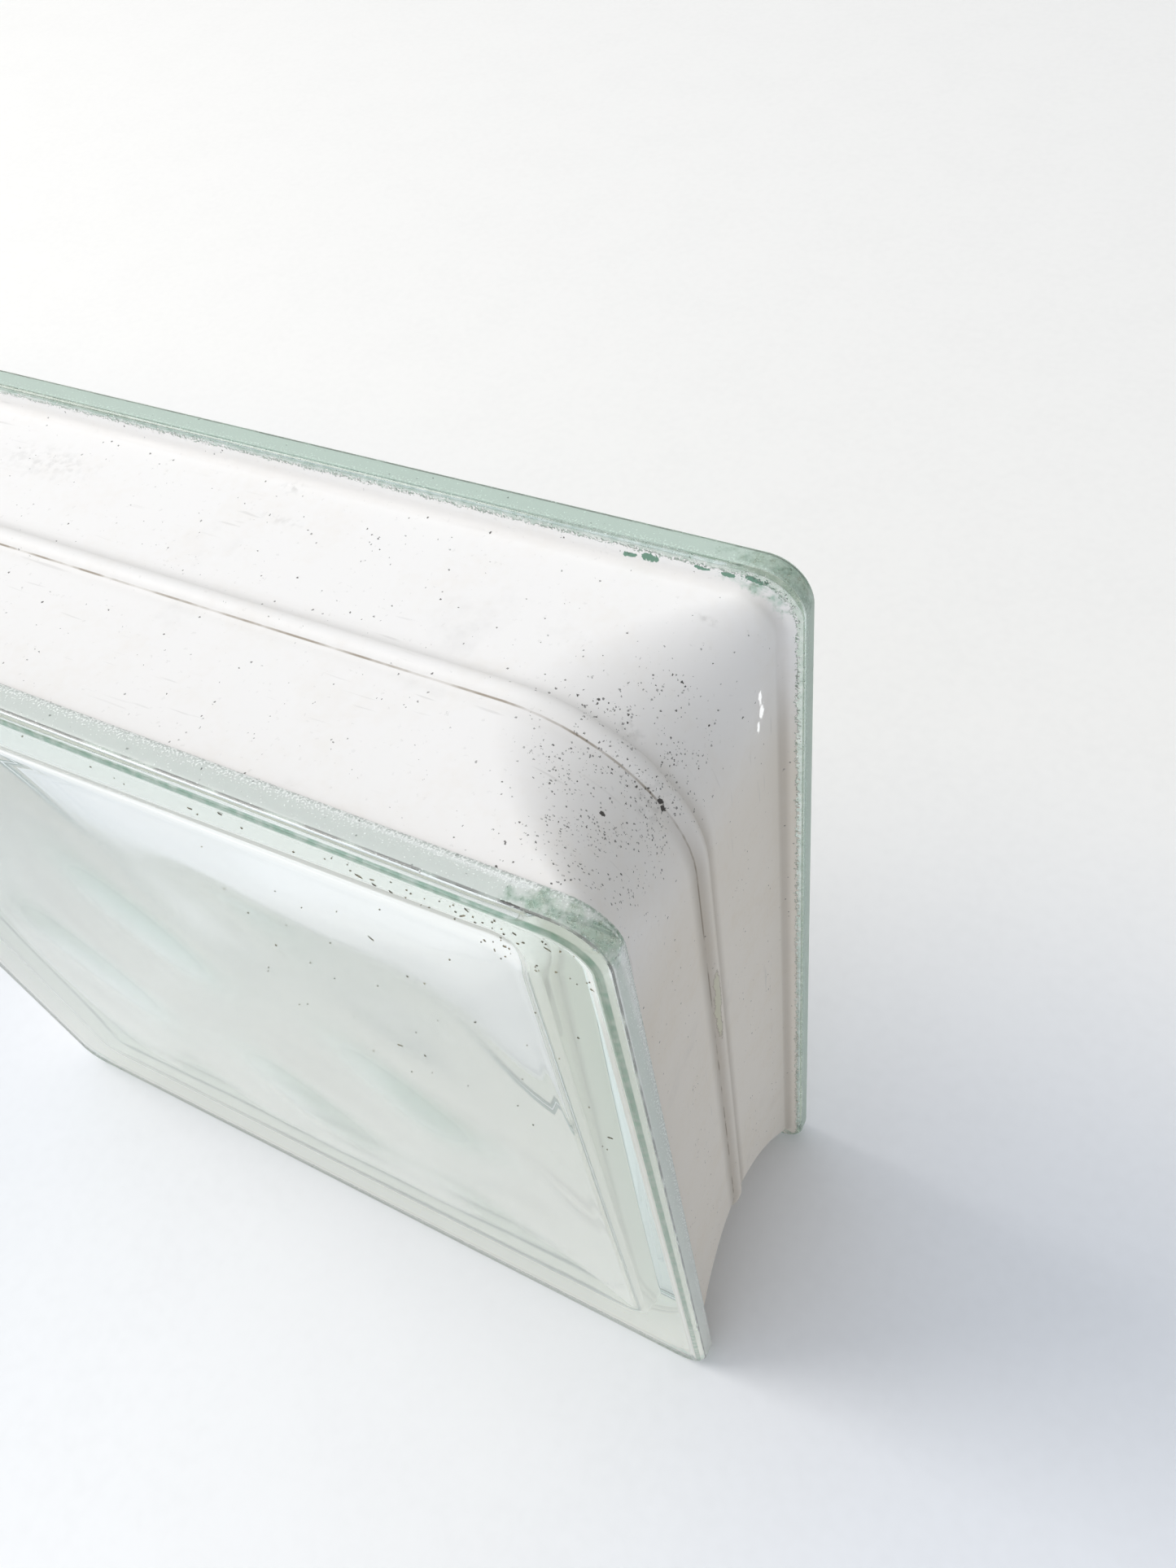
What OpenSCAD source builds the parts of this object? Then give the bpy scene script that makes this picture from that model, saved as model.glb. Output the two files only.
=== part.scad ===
// Hollow glass building block, 240 x 240 x 80 mm, with white-coated joint edges.
// Two pressed glass dishes are fused into one sealed body: flat panes outside,
// a wavy relief inside, a rim round each face and a mortar channel round the
// four edges, with the bead of the fused seam running along its middle.
// The block stands on one edge, its origin under its centre at the floor.
// X runs along the faces, Y through the thickness and Z up.

/* [Block] */
// Side of the square face
block_side = 240; // [190:1:300]
// Thickness over both faces
block_thick = 80; // [70:1:100]

/* [Rim] */
// Thickness of the rim behind each face
rim_thick = 6.5; // [5:0.25:9]
// Corner radius of the face
rim_corner_r = 9; // [5:0.5:14]
// Rounding of the edge between the face and the rim's land
face_edge_r = 2.5; // [1:0.25:3]
// Rounding of the rim's edge over the mortar channel
rim_edge_r = 1; // [0.5:0.25:1.5]

/* [Mortar channel] */
// Depth of the channel under the rim's land, beside the rim
channel_depth = 4.6; // [3.5:0.1:6]
// Further depth of the channel at the seam
channel_belly = 1.6; // [0.8:0.1:3]
// Fillet in the corner between the channel and the rim
channel_fillet_r = 2.4; // [1.2:0.1:3]
// Corner radius of the waist along the seam
waist_corner_r = 32; // [24:0.5:40]
// Corner radius of the waist beside the rims
flank_corner_r = 7.5; // [4:0.5:12]

/* [Seam bead] */
// Height of the fused bead over the channel
bead_height = 1.2; // [0.6:0.1:2]
// Radius of the bead's round back
bead_r = 2.3; // [2.1:0.1:5]

/* [Cavity] */
// Mean thickness of each pane in its middle
pane_thick = 8.5; // [7:0.25:12]
// Thickening of each pane towards its border
pane_swell = 2; // [0.5:0.1:3.5]
// Width of the border that thickens
swell_width = 22; // [14:1:30]
// Thickness of the side wall at the seam
wall_thick = 8; // [6:0.25:12]
// Inward draft of the cavity wall between the seam and a pane
wall_draft = 2.5; // [0:0.25:4]
// Corner radius of the cavity at the seam
cavity_corner_r = 19; // [14:0.5:24]
// Fillet between the cavity wall and a pane
cavity_fillet_r = 5; // [3:0.5:8]
// Corner radius of the pane's border inside
pane_corner_r = 4; // [2:0.5:8]

/* [Wave relief] */
// Height of the waves inside each pane, trough to crest
wave_height = 1.2; // [0:0.1:3]
// Length of the main wave
wave_length = 62; // [45:1:90]

/* [Edge coating] */
// Thickness of the white coat in the mortar channel
coat_thick = 0.4; // [0.2:0.05:0.8]

/* [Hidden] */
$fn = 96;

half_side = block_side / 2;
half_thick = block_thick / 2;
// Plane of the rim's inner flank, where the mortar channel begins
flank_z = half_thick - rim_thick;
// The channel's hollow is one arc from flank to flank, bellied towards the seam
channel_r = (flank_z * flank_z + channel_belly * channel_belly) / (2 * channel_belly);
// The fillet touches the arc and the flank, and leaves room for the rim's own edge rounding
fillet_r = min(channel_fillet_r, channel_depth - rim_edge_r);
fillet_z = flank_z - fillet_r;
fillet_back = sqrt(pow(channel_r - fillet_r, 2) - fillet_z * fillet_z);
// Distances from the block's axis to the bottom of the channel and to the corner centres
waist_half = half_side - channel_depth - channel_belly;
waist_centre = waist_half - waist_corner_r;
flank_centre = half_side - channel_depth - flank_corner_r;
rim_centre = half_side - rim_corner_r;
// Distances from the axis to the centres of the channel's arc, of its fillet and of the bead
arc_x = waist_half + channel_r;
fillet_x = arc_x - fillet_back;
bead_x = waist_half + bead_height - bead_r;
// Turn of the fillet, from the flank to where it meets the arc
fillet_turn = atan2(fillet_back, fillet_z);

// Steps of the lofted waist
waist_corner_steps = 8;
waist_fillet_steps = 3;
waist_arc_steps = 7;
bead_steps = 4;

// Steps of the lofted cavity
corner_steps = 4;
side_steps = 16;
fillet_steps = 4;
swell_steps = 6;
pane_steps = 8;
cavity_half = waist_half - wall_thick;
cavity_top = half_thick - pane_thick;
// The pane's border inside the fillet, and the even middle inside the border's swell
border_half = cavity_half - wall_draft - cavity_fillet_r;
border_top = cavity_top - pane_swell;
swell_round = 0.75;
even_half = border_half - swell_width;
even_corner_r = pane_corner_r + swell_round * swell_width;

// Sweeps a section round a square with round corners. The section is drawn outwards
// from the corner centres, and the square inside them is filled to the section's height.
module swept_square(centre, height) {
    for (side = [0:3]) rotate(90 * side) {
        translate([centre, centre, 0]) rotate_extrude(angle = 90) children();
        translate([centre, 0, 0]) rotate([90, 0, 0])
            linear_extrude(2 * centre, center = true) children();
    }
    if (height > 0) cube([2 * centre, 2 * centre, height], center = true);
}

// A rectangle from the axis to reach, between bottom and top, its outer corners rounded
module rounded_land(reach, bottom, top, bottom_r, top_r) {
    square_from_to(0, bottom, reach - max(bottom_r, top_r), top);
    square_from_to(0, bottom + bottom_r, reach, top - top_r);
    square_from_to(0, bottom, reach - bottom_r, top - top_r);
    square_from_to(0, bottom + bottom_r, reach - top_r, top);
    translate([reach - bottom_r, bottom + bottom_r]) circle(bottom_r);
    translate([reach - top_r, top - top_r]) circle(top_r);
}

module square_from_to(x0, y0, x1, y1) {
    translate([x0, y0]) square([x1 - x0, y1 - y0]);
}

module rim() {
    translate([0, 0, flank_z + rim_thick / 2])
        swept_square(rim_centre, rim_thick)
            rounded_land(rim_corner_r, -rim_thick / 2, rim_thick / 2, rim_edge_r, face_edge_r);
}

// Points round a square with round corners, starting on the +X side
function square_ring(half, r, side_cuts, corner_cuts) = [
    for (side = [0:3], i = [0:side_cuts + corner_cuts - 1])
        let (
            a = max(0, i - side_cuts) * 90 / corner_cuts,
            along = (half - r) * (2 * min(i, side_cuts) / side_cuts - 1),
            x = half - r + r * cos(a),
            y = along + r * sin(a),
            t = 90 * side
        ) [x * cos(t) - y * sin(t), x * sin(t) + y * cos(t)]
];

// Faces of the skin between rings of equal point counts, closed into a loop when asked
function skin_faces(rings, closed = false) =
    let (count = len(rings), n = len(rings[0]))
    [for (k = [0:count - (closed ? 1 : 2)], i = [0:n - 1])
        let (a = k * n, b = (k + 1) % count * n, j = (i + 1) % n)
        each [[a + i, b + i, b + j], [a + i, b + j, a + j]]];

// Outline of one half of the channel from the flank to the seam, as distance from the axis and height:
// the fillet under the rim, the hollow arc and the bead. Skin moves it outwards.
function channel_outline(skin) =
    let (
        fillet = fillet_r - skin,
        hollow = channel_r - skin,
        bead = bead_r + skin,
        gap = arc_x - bead_x,
        foot_x = (gap * gap + bead * bead - hollow * hollow) / (2 * gap),
        foot_z = sqrt(bead * bead - foot_x * foot_x),
        touch_z = fillet_z + fillet * cos(fillet_turn)
    )
    concat(
        [for (i = [0:waist_fillet_steps])
            let (t = fillet_turn * i / waist_fillet_steps)
            [fillet_x - fillet * sin(t), fillet_z + fillet * cos(t)]],
        [for (i = [1:waist_arc_steps])
            let (z = touch_z + (foot_z - touch_z) * i / waist_arc_steps)
            [arc_x - sqrt(hollow * hollow - z * z), z]],
        [for (i = [1:bead_steps])
            let (z = foot_z * (1 - i / bead_steps))
            [bead_x + sqrt(bead * bead - z * z), z]]
    );

// Distance of the waist's corner centres at a height, wide along the seam and tight beside the rims
function corner_centre(z) =
    waist_centre + (flank_centre - waist_centre) * min(1, pow(z / (fillet_z + fillet_r * cos(fillet_turn)), 2));

// Rings of the waist's outside from the back flank to the front flank
function waist_rings(skin = 0) =
    let (outline = channel_outline(skin), last = len(outline) - 1)
    [for (k = [0:2 * last])
        let (
            at = outline[k > last ? 2 * last - k : k],
            z = k > last ? at.y : -at.y
        )
        [for (p = square_ring(at.x, at.x - corner_centre(z), 1, waist_corner_steps)) [p.x, p.y, z]]];

module waist() {
    rings = waist_rings();
    n = len(rings[0]);
    top = (len(rings) - 1) * n;
    polyhedron(
        points = [for (ring = rings) each ring],
        faces = concat(
            skin_faces(rings),
            [[for (i = [0:n - 1]) i]],
            [[for (i = [n - 1:-1:0]) top + i]]
        )
    );
}

module solid_block() {
    for (face = [0, 1]) mirror([0, 0, face]) rim();
    waist();
}

// Inward relief of a pane at a point: three crossing waves, turned differently on each pane
function wave(x, y, turn, stretch) =
    sin(360 * (x * cos(turn) + y * sin(turn)) / (wave_length * stretch));
function relief(x, y, turn) =
    wave_height / 2 * (wave(x, y, turn, 1) + wave(x, y, turn + 68, 1.35) + wave(x, y, turn + 131, 0.8)) / 3;

// Rings of one half of the cavity, from beside the seam to round the pane's middle:
// half side, corner radius, height and share of the relief
half_rings = concat(
    [for (i = [0:fillet_steps])
        let (a = 90 * i / fillet_steps)
        [border_half + cavity_fillet_r * cos(a), pane_corner_r + cavity_fillet_r * cos(a),
         border_top - cavity_fillet_r * (1 - sin(a)), 0]],
    [for (i = [1:swell_steps])
        let (t = i / swell_steps, inset = swell_width * t)
        [border_half - inset, pane_corner_r + swell_round * inset,
         cavity_top - pane_swell * pow(1 - t, 2), t * t * (3 - 2 * t)]],
    [for (i = [1:pane_steps - 1])
        let (left = 1 - i / pane_steps)
        [even_half * left, even_corner_r * left, cavity_top, 1]]
);

function ring_at(ring, face) = [
    for (p = square_ring(ring[0], ring[1], side_steps, corner_steps))
        [p.x, p.y, face * (ring[2] - ring[3] * relief(p.x, p.y, 25 + 35 * face))]
];

// The sealed cavity, lofted from one pane's middle over the seam to the other's
module cavity() {
    last = len(half_rings) - 1;
    rings = concat(
        [for (i = [last:-1:0]) ring_at(half_rings[i], -1)],
        [ring_at([cavity_half, cavity_corner_r, 0, 0], 1)],
        [for (i = [0:last]) ring_at(half_rings[i], 1)]
    );
    poles = [for (face = [-1, 1]) [0, 0, face * (cavity_top - relief(0, 0, 25 + 35 * face))]];
    n = len(rings[0]);
    top = (len(rings) - 1) * n;
    back_pole = top + n;
    polyhedron(
        points = concat([for (ring = rings) each ring], poles),
        faces = concat(
            skin_faces(rings),
            [for (i = [0:n - 1])
                let (j = (i + 1) % n)
                each [[back_pole, i, j], [back_pole + 1, top + j, top + i]]]
        )
    );
}

// Turns the block from lying on its face to standing on its edge
module standing() {
    translate([0, 0, half_side]) rotate([90, 0, 0]) children();
}

module glass_block() {
    color([0.80, 0.88, 0.84, 0.5]) standing() difference() {
        solid_block();
        cavity();
    }
}

// The coat is one skin over the waist, closed round its outer face and the glass
module edge_coating() {
    glass_side = waist_rings();
    last = len(glass_side) - 1;
    rings = concat(waist_rings(coat_thick), [for (k = [last:-1:0]) glass_side[k]]);
    color([0.95, 0.94, 0.92]) standing()
        polyhedron(points = [for (ring = rings) each ring], faces = skin_faces(rings, true));
}

glass_block();
edge_coating();
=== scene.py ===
"""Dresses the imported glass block: pressed glass, its worn white edge coat, loose dirt and a pale studio.

Sizes are millimetres in the block's own frame (X along the faces, Y through the thickness from the
front face to the back, Z up from the floor). A mesh is scaled to metres when it is made.
"""
import logging
import math
from dataclasses import dataclass, field
from enum import Enum

import bpy
import numpy as np
from mathutils import Matrix, Vector

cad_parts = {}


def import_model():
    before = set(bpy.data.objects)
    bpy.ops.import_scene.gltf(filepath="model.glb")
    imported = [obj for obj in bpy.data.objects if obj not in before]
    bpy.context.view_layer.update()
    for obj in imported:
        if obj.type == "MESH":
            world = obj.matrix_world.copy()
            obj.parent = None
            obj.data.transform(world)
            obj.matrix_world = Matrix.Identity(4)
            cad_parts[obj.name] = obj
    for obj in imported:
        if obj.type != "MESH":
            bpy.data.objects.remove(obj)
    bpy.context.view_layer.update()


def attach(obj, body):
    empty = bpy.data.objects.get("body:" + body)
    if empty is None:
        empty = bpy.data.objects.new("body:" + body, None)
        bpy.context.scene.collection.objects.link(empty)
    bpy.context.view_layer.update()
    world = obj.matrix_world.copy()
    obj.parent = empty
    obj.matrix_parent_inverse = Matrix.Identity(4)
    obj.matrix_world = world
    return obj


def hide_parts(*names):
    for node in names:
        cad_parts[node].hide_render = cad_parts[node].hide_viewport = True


LOG = logging.getLogger("glass_block")
MM = 0.001

LIGHT_BOUNCES = 28
DIFFUSE_BOUNCES = 4

Ring = np.ndarray
Triple = tuple[float, float, float]
Socket = bpy.types.NodeSocket


class Pane(Enum):
    """The two panes, valued by the sign that the part's source gives them."""

    FRONT = 1
    BACK = -1


@dataclass(frozen=True)
class BlockSizes:
    """Named sizes of the block, as in the part's source."""

    side: float = 240.0
    thick: float = 80.0
    rim_thick: float = 6.5
    rim_corner_r: float = 9.0
    face_edge_r: float = 2.5
    rim_edge_r: float = 1.0
    channel_depth: float = 4.6
    channel_belly: float = 1.6
    channel_fillet_r: float = 2.4
    waist_corner_r: float = 32.0
    flank_corner_r: float = 7.5
    bead_height: float = 1.2
    bead_r: float = 2.3
    pane_thick: float = 8.5
    wall_thick: float = 8.0
    wall_draft: float = 2.5
    cavity_corner_r: float = 19.0
    cavity_fillet_r: float = 5.0
    pane_corner_r: float = 4.0
    pane_swell: float = 2.0
    swell_width: float = 22.0
    wave_height: float = 1.2
    wave_length: float = 62.0

    @property
    def half_side(self) -> float:
        """Distance from the block's axis to a land."""
        return self.side / 2

    @property
    def half_thick(self) -> float:
        """Distance from the middle plane to a face."""
        return self.thick / 2

    @property
    def flank(self) -> float:
        """Distance from the middle plane to a rim's flank."""
        return self.half_thick - self.rim_thick

    @property
    def channel_r(self) -> float:
        """Radius of the channel's hollow arc."""
        return (self.flank**2 + self.channel_belly**2) / (2 * self.channel_belly)

    @property
    def waist_half(self) -> float:
        """Distance from the axis to the bottom of the channel at the seam."""
        return self.half_side - self.channel_depth - self.channel_belly

    @property
    def arc_x(self) -> float:
        """Distance from the axis to the centre of the channel's arc."""
        return self.waist_half + self.channel_r

    @property
    def fillet_y(self) -> float:
        """Distance from the middle plane to the centre of the channel's fillet."""
        return self.flank - self.channel_fillet_r

    @property
    def fillet_back(self) -> float:
        """How far the fillet's centre lies inside the arc's centre."""
        return math.sqrt((self.channel_r - self.channel_fillet_r) ** 2 - self.fillet_y**2)

    @property
    def fillet_x(self) -> float:
        """Distance from the axis to the fillet's centre, where the coat meets the flank."""
        return self.arc_x - self.fillet_back

    @property
    def fillet_turn(self) -> float:
        """Angle of the fillet from the flank to the arc."""
        return math.atan2(self.fillet_back, self.fillet_y)

    @property
    def bead_x(self) -> float:
        """Distance from the axis to the centre of the bead's round back."""
        return self.waist_half + self.bead_height - self.bead_r

    @property
    def rim_centre(self) -> float:
        """Distance from the axis to the rim's corner centres."""
        return self.half_side - self.rim_corner_r

    @property
    def flank_centre(self) -> float:
        """Distance from the axis to the waist's corner centres beside a rim."""
        return self.half_side - self.channel_depth - self.flank_corner_r

    def corner_centre(self, y: float) -> float:
        """Distance from the axis to the waist's corner centres at a place through the thickness.

        Args:
            y: Distance from the middle plane.

        Returns:
            The distance, wide along the seam and tight beside the rims.
        """
        start = self.waist_half - self.waist_corner_r
        touch = self.fillet_y + self.channel_fillet_r * math.cos(self.fillet_turn)
        return start + (self.flank_centre - start) * min(1.0, (y / touch) ** 2)


SIZES = BlockSizes()


def square_ring(half: float, centre: float, y: float, side_cuts: int, corner_cuts: int) -> Ring:
    """Points round a square with round corners, standing across the thickness.

    Args:
        half: Half the square's side.
        centre: Distance from the axis to the corner centres.
        y: Place through the thickness.
        side_cuts: Steps along each straight side.
        corner_cuts: Steps round each corner.

    Returns:
        An array of points, one row each.
    """
    radius = half - centre
    points = []
    for side in range(4):
        turn = math.radians(90 * side)
        for i in range(side_cuts + corner_cuts):
            angle = math.radians(max(0, i - side_cuts) * 90 / corner_cuts)
            x = centre + radius * math.cos(angle)
            z = centre * (2 * min(i, side_cuts) / side_cuts - 1) + radius * math.sin(angle)
            across = x * math.cos(turn) - z * math.sin(turn)
            up = x * math.sin(turn) + z * math.cos(turn)
            points.append((across, y, up))
    rings = np.array(points)
    rings[:, 2] += SIZES.half_side
    return rings


def arc(centre: tuple[float, float], radius: float, start: float, end: float,
        steps: int) -> list[tuple[float, float]]:
    """Points on an arc of the section, in reach from the axis and distance from the middle plane.

    Args:
        centre: Centre of the arc.
        radius: Radius of the arc.
        start: First angle, in degrees from the outward direction.
        end: Last angle.
        steps: Number of steps.

    Returns:
        The points from start to end.
    """
    angles = np.radians(np.linspace(start, end, steps + 1))
    return [(centre[0] + radius * math.cos(a), centre[1] + radius * math.sin(a)) for a in angles]


def channel_outline(skin: float, steps: tuple[int, int, int]) -> list[tuple[float, float]]:
    """Half of the channel's section from the flank to the seam's crest.

    Args:
        skin: How far the outline is moved outwards.
        steps: Steps of the fillet, of the hollow arc and of the bead.

    Returns:
        Points in reach from the axis and distance from the middle plane.
    """
    s = SIZES
    fillet = s.channel_fillet_r - skin
    hollow = s.channel_r - skin
    bead = s.bead_r + skin
    gap = s.arc_x - s.bead_x
    foot_x = (gap**2 + bead**2 - hollow**2) / (2 * gap)
    foot_y = math.sqrt(bead**2 - foot_x**2)
    touch = s.fillet_y + fillet * math.cos(s.fillet_turn)
    outline = []
    for i in range(steps[0] + 1):
        turn = s.fillet_turn * i / steps[0]
        outline.append((s.fillet_x - fillet * math.sin(turn), s.fillet_y + fillet * math.cos(turn)))
    for y in np.linspace(touch, foot_y, steps[1] + 1)[1:]:
        outline.append((s.arc_x - math.sqrt(hollow**2 - y**2), float(y)))
    for y in np.linspace(foot_y, 0.0, steps[2] + 1)[1:]:
        outline.append((s.bead_x + math.sqrt(bead**2 - y**2), float(y)))
    return outline


@dataclass
class LoftMesh:
    """Collects lofted skins and makes one mesh of them, with a value for each point."""

    points: list[np.ndarray] = field(default_factory=list)
    faces: list[tuple[int, ...]] = field(default_factory=list)
    values: dict[str, list[np.ndarray]] = field(default_factory=dict)
    count: int = 0

    def skin(self, rings: list[Ring], loop: bool = False, turned: bool = False,
             **values: list[float]) -> None:
        """Adds the skin between rings of equal point counts.

        Args:
            rings: The rings, from the front towards the back.
            loop: Whether the last ring joins the first.
            turned: Whether the skin faces the axis.
            values: A number for each ring under each attribute's name.
        """
        n, total = len(rings[0]), len(rings)
        for k in range(total if loop else total - 1):
            a, b = self.count + k * n, self.count + (k + 1) % total * n
            for i in range(n):
                j = (i + 1) % n
                quad = (a + i, b + i, b + j, a + j)
                self.faces.append(quad[::-1] if turned else quad)
        self._keep(np.concatenate(rings), n, values)

    def cap(self, ring_start: int, n: int, turned: bool) -> None:
        """Closes a ring with one flat face.

        Args:
            ring_start: Index of the ring's first point.
            n: Number of points in the ring.
            turned: Whether the face looks towards the back.
        """
        loop = tuple(range(ring_start, ring_start + n))
        self.faces.append(loop[::-1] if turned else loop)

    def patch(self, ring_start: int, ring: Ring, cuts: int, lead: int, turned: bool,
              **values: np.ndarray) -> None:
        """Closes a ring of four equal runs with a grid that blends its opposite sides.

        Args:
            ring_start: Index of the ring's first point.
            ring: The ring's points.
            cuts: Steps along each of the four runs.
            lead: Place in the ring of the grid's first corner.
            turned: Whether the grid looks towards the back.
            values: A number for each inner point of the grid, row by row, under each attribute's name.
        """
        order = (lead + np.arange(4 * cuts)) % (4 * cuts)
        runs = [np.append(order, order[0])[k * cuts:(k + 1) * cuts + 1] for k in range(4)]
        index = np.zeros((cuts + 1, cuts + 1), int)
        index[0], index[:, -1], index[-1], index[:, 0] = runs[0], runs[1], runs[2][::-1], runs[3][::-1]
        inner = np.arange(self.count, self.count + (cuts - 1) ** 2).reshape(cuts - 1, cuts - 1)
        index += ring_start
        index[1:-1, 1:-1] = inner
        sides = (ring[runs[0]], ring[runs[1]], ring[runs[2][::-1]], ring[runs[3][::-1]])
        self._keep(self.blend(*sides), 1, values)
        for i in range(cuts):
            for j in range(cuts):
                corners = (index[i, j], index[i, j + 1], index[i + 1, j + 1], index[i + 1, j])
                quad = tuple(int(corner) for corner in corners)
                self.faces.append(quad[::-1] if turned else quad)

    @staticmethod
    def blend(low: Ring, right: Ring, high: Ring, left: Ring) -> np.ndarray:
        """Blends four sides into the inner points of a grid.

        Args:
            low: First side, along the columns.
            right: Side at the last column, along the rows.
            high: Side opposite low.
            left: Side at the first column.

        Returns:
            The inner points, row by row.
        """
        steps = np.linspace(0.0, 1.0, len(low))[1:-1]
        u, v = steps[None, :, None], steps[:, None, None]
        across = (1 - u) * left[1:-1, None] + u * right[1:-1, None]
        along = (1 - v) * low[None, 1:-1] + v * high[None, 1:-1]
        corners = (1 - u) * ((1 - v) * low[0] + v * high[0]) + u * ((1 - v) * low[-1] + v * high[-1])
        return (across + along - corners).reshape(-1, 3)

    def _keep(self, points: np.ndarray, n: int, values: dict[str, list[float]]) -> None:
        """Stores points and their numbers.

        Args:
            points: The points.
            n: How many points share a number.
            values: The numbers under each attribute's name.
        """
        for name, numbers in values.items():
            self.values.setdefault(name, []).append(np.repeat(np.asarray(numbers, float), n))
        self.points.append(points)
        self.count += len(points)

    def make(self, name: str) -> bpy.types.Object:
        """Makes the object, in metres, shaded smooth.

        Args:
            name: Name of the object.

        Returns:
            The object, linked to the scene.
        """
        mesh = bpy.data.meshes.new(name)
        mesh.from_pydata((np.concatenate(self.points) * MM).tolist(), [], self.faces)
        for label, parts in self.values.items():
            layer = mesh.attributes.new(label, "FLOAT", "POINT")
            layer.data.foreach_set("value", np.concatenate(parts).astype(np.float32))
        mesh.shade_smooth()
        mesh.validate()
        mesh.update()
        thing = bpy.data.objects.new(name, mesh)
        bpy.context.scene.collection.objects.link(thing)
        return thing


@dataclass
class NodeTree:
    """Short ways to add nodes to a tree and to join them."""

    tree: bpy.types.NodeTree

    def add(self, kind: str, **settings: object) -> bpy.types.Node:
        """Adds a node.

        Args:
            kind: The node's type.
            settings: Properties of the node.

        Returns:
            The new node.
        """
        node = self.tree.nodes.new(kind)
        for name, value in settings.items():
            setattr(node, name, value)
        return node

    def join(self, source: object, socket: Socket) -> None:
        """Links an output to a socket, or sets the socket to a plain value.

        Args:
            source: Output or plain value.
            socket: The socket.
        """
        if isinstance(source, Socket):
            self.tree.links.new(source, socket)
        else:
            socket.default_value = source

    def math(self, operation: str, *inputs: object, clamp: bool = False) -> Socket:
        """Adds a Math node.

        Args:
            operation: The node's operation.
            inputs: Sockets or numbers, in order.
            clamp: Whether the result stays between 0 and 1.

        Returns:
            The result.
        """
        node = self.add("ShaderNodeMath", operation=operation, use_clamp=clamp)
        for source, socket in zip(inputs, node.inputs):
            self.join(source, socket)
        return node.outputs[0]

    def ramp(self, value: object, low: float, high: float, start: object = 0.0, end: object = 1.0) -> Socket:
        """Maps a value smoothly from one range to another.

        Args:
            value: Socket to map.
            low: Value that gives start.
            high: Value that gives end.
            start: Result at low.
            end: Result at high.

        Returns:
            The mapped value, held between start and end.
        """
        node = self.add("ShaderNodeMapRange", interpolation_type="SMOOTHSTEP")
        names = ("Value", "From Min", "From Max", "To Min", "To Max")
        for source, name in zip((value, low, high, start, end), names):
            self.join(source, node.inputs[name])
        return node.outputs["Result"]

    def mix(self, share: object, first: object, second: object) -> Socket:
        """Mixes two colours.

        Args:
            share: How much of the second.
            first: Colour or socket.
            second: Colour or socket.

        Returns:
            The mixed colour.
        """
        node = self.add("ShaderNodeMix", data_type="RGBA")
        self.join(share, node.inputs["Factor"])
        for source, index in ((first, 6), (second, 7)):
            self.join((*source, 1.0) if isinstance(source, tuple) else source, node.inputs[index])
        return node.outputs[2]

    def noise(self, vector: object, scale: object, detail: float = 3.0, rough: float = 0.5) -> Socket:
        """Adds a noise pattern.

        Args:
            vector: Coordinates.
            scale: Scale of the pattern.
            detail: Number of finer layers.
            rough: Strength of the finer layers.

        Returns:
            The pattern's value.
        """
        node = self.add("ShaderNodeTexNoise")
        self.join(vector, node.inputs["Vector"])
        self.join(scale, node.inputs["Scale"])
        node.inputs["Detail"].default_value = detail
        node.inputs["Roughness"].default_value = rough
        return node.outputs["Fac"]

    def through_glass(self) -> Socket:
        """Gives 1 for rays that come from a gloss or glass."""
        path = self.add("ShaderNodeLightPath")
        return self.math("MAXIMUM", path.outputs["Is Glossy Ray"], path.outputs["Is Transmission Ray"])

    def place(self) -> Socket:
        """Gives the piece's own coordinates, in metres."""
        return self.add("ShaderNodeTexCoord").outputs["Object"]

    def attribute(self, name: str) -> Socket:
        """Gives a number stored on the piece's points."""
        return self.add("ShaderNodeAttribute", attribute_name=name).outputs["Fac"]

    def stored(self, name: str) -> Socket:
        """Gives a number stored on the points, for Geometry Nodes.

        Args:
            name: The attribute's name.

        Returns:
            The number.
        """
        node = self.add("GeometryNodeInputNamedAttribute", data_type="FLOAT")
        node.inputs["Name"].default_value = name
        return node.outputs["Attribute"]

    def axes(self, vector: object) -> tuple[Socket, ...]:
        """Splits coordinates into X, Y and Z.

        Args:
            vector: Coordinates.

        Returns:
            The three numbers.
        """
        split = self.add("ShaderNodeSeparateXYZ")
        self.join(vector, split.inputs[0])
        return tuple(split.outputs)

    def most(self, *values: object) -> object:
        """Gives the largest of several values.

        Args:
            values: Sockets or numbers.

        Returns:
            The largest.
        """
        result = values[0]
        for value in values[1:]:
            result = self.math("MAXIMUM", result, value)
        return result

    def off(self, value: object, middle: float) -> Socket:
        """Gives how far a value is from a middle, whichever way."""
        return self.math("ABSOLUTE", self.math("SUBTRACT", value, middle))

    def near(self, vector: object, centre: Triple, stretch: Triple) -> Socket:
        """Gives the distance from a place, in units of the stretch on each axis.

        Args:
            vector: Coordinates.
            centre: The place, in millimetres.
            stretch: Length of one unit along each axis, in millimetres.

        Returns:
            The distance.
        """
        shift = self.add("ShaderNodeVectorMath", operation="SUBTRACT")
        self.join(vector, shift.inputs[0])
        shift.inputs[1].default_value = tuple(c * MM for c in centre)
        scaled = self.add("ShaderNodeVectorMath", operation="DIVIDE")
        self.join(shift.outputs[0], scaled.inputs[0])
        scaled.inputs[1].default_value = tuple(s * MM for s in stretch)
        length = self.add("ShaderNodeVectorMath", operation="LENGTH")
        self.join(scaled.outputs[0], length.inputs[0])
        return length.outputs["Value"]


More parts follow.
